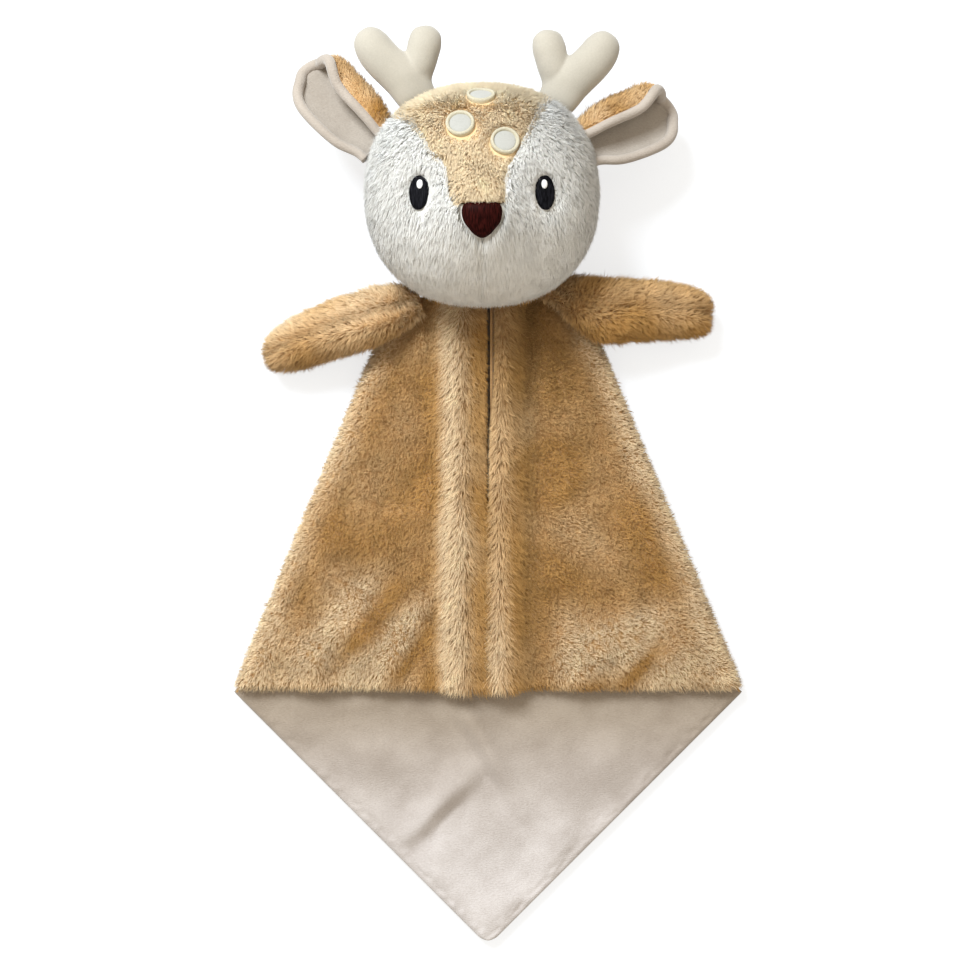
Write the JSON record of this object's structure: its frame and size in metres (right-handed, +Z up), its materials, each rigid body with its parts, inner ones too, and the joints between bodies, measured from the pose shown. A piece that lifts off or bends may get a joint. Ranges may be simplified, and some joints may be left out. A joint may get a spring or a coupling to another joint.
{
  "type": "fawn comfort blanket",
  "caption": "Plush comfort blanket with a stuffed fawn head, ears, antlers and arms; a lined square blanket folds in from both sides like a coat.",
  "frame": {"origin": "middle of the blanket square, on the flat underside the toy lies on", "axes": "+X to the viewer's right as one looks at the face, +Y from the blanket's open corner to the antlers, +Z up out of the face"},
  "size_m": [0.2482, 0.4331, 0.0902],
  "materials": {
    "caramel_plush": "long soft plush",
    "white_plush": "long soft plush",
    "cream_velour": "short soft velour",
    "brown_thread": "satin stitching",
    "black_thread": "satin stitching",
    "white_thread": "satin stitching",
    "ivory_thread": "satin stitching",
    "polyester_fill": "loose fibre"
  },
  "bodies": {
    "blanket": {"blanket_back_plush": "caramel_plush", "blanket_back_lining": "cream_velour", "yoke_left_plush": "caramel_plush", "yoke_left_lining": "cream_velour", "yoke_right_plush": "caramel_plush", "yoke_right_lining": "cream_velour"},
    "neck": {"neck_pad": "caramel_plush"},
    "head": {"head_blaze": "caramel_plush", "head_cheek_left": "white_plush", "head_cheek_right": "white_plush", "head_back_left": "caramel_plush", "head_back_right": "caramel_plush", "head_stuffing": "polyester_fill", "eye_left": "black_thread", "eye_left_glint": "white_thread", "eye_right": "black_thread", "eye_right_glint": "white_thread", "nose": "brown_thread", "spot_1": "white_plush", "spot_1_stitching": "ivory_thread", "spot_2": "white_plush", "spot_2_stitching": "ivory_thread", "spot_3": "white_plush", "spot_3_stitching": "ivory_thread"},
    "ear_left": {"ear_left_plush": "caramel_plush", "ear_left_lining": "cream_velour"},
    "antler_left": {"antler_left_front": "cream_velour", "antler_left_back": "cream_velour", "antler_left_stuffing": "polyester_fill"},
    "arm_left": {"arm_left_upper": "caramel_plush", "arm_left_lower": "caramel_plush", "arm_left_stuffing": "polyester_fill"},
    "flap_left": {"flap_left_plush": "caramel_plush", "flap_left_lining": "cream_velour"},
    "ear_right": {"ear_right_plush": "caramel_plush", "ear_right_lining": "cream_velour"},
    "antler_right": {"antler_right_front": "cream_velour", "antler_right_back": "cream_velour", "antler_right_stuffing": "polyester_fill"},
    "arm_right": {"arm_right_upper": "caramel_plush", "arm_right_lower": "caramel_plush", "arm_right_stuffing": "polyester_fill"},
    "flap_right": {"flap_right_plush": "caramel_plush", "flap_right_lining": "cream_velour"}
  },
  "joints": [
    {"name": "neck_nod", "type": "hinge", "parent": "blanket", "child": "neck", "pos_m": [-0.003, 0.114, 0.012], "axis": [1, 0, 0], "range_deg": [0, 10]},
    {"name": "neck_tilt", "type": "hinge", "parent": "neck", "child": "head", "pos_m": [-0.003, 0.114, 0.012], "axis": [0, 0, 1], "range_deg": [-5, 5]},
    {"name": "ear_left_flop", "type": "hinge", "parent": "head", "child": "ear_left", "pos_m": [-0.05234, 0.17385, 0.04228], "axis": [0.727, 0.6866, 0], "range_deg": [-10, 15], "stiffness_Nm_per_rad": 0.02},
    {"name": "antler_left_bend", "type": "hinge", "parent": "head", "child": "antler_left", "pos_m": [-0.03535, 0.19779, 0.04374], "axis": [0.9109, 0.4127, -0.0024], "range_deg": [-25, 25], "stiffness_Nm_per_rad": 0.015},
    {"name": "arm_left_lift", "type": "hinge", "parent": "blanket", "child": "arm_left", "pos_m": [-0.03252, 0.0923, 0.02], "axis": [0.2164, -0.9763, 0], "range_deg": [-25, 0]},
    {"name": "flap_left_open", "type": "hinge", "parent": "blanket", "child": "flap_left", "pos_m": [-0.0981, -0.02471, 0.00745], "axis": [-0.3827, -0.9239, 0], "range_deg": [0, 175]},
    {"name": "ear_right_flop", "type": "hinge", "parent": "head", "child": "ear_right", "pos_m": [0.04709, 0.17302, 0.04207], "axis": [0.4341, -0.9008, 0], "range_deg": [-10, 15], "stiffness_Nm_per_rad": 0.02},
    {"name": "antler_right_bend", "type": "hinge", "parent": "head", "child": "antler_right", "pos_m": [0.03394, 0.19617, 0.0427], "axis": [0.9114, -0.4115, 0.007], "range_deg": [-25, 25], "stiffness_Nm_per_rad": 0.015},
    {"name": "arm_right_lift", "type": "hinge", "parent": "blanket", "child": "arm_right", "pos_m": [0.033, 0.0955, 0.02], "axis": [0.0436, 0.999, 0], "range_deg": [-25, 0]},
    {"name": "flap_right_open", "type": "hinge", "parent": "blanket", "child": "flap_right", "pos_m": [0.0981, -0.02471, 0.00745], "axis": [-0.3827, 0.9239, 0], "range_deg": [0, 175]}
  ]
}
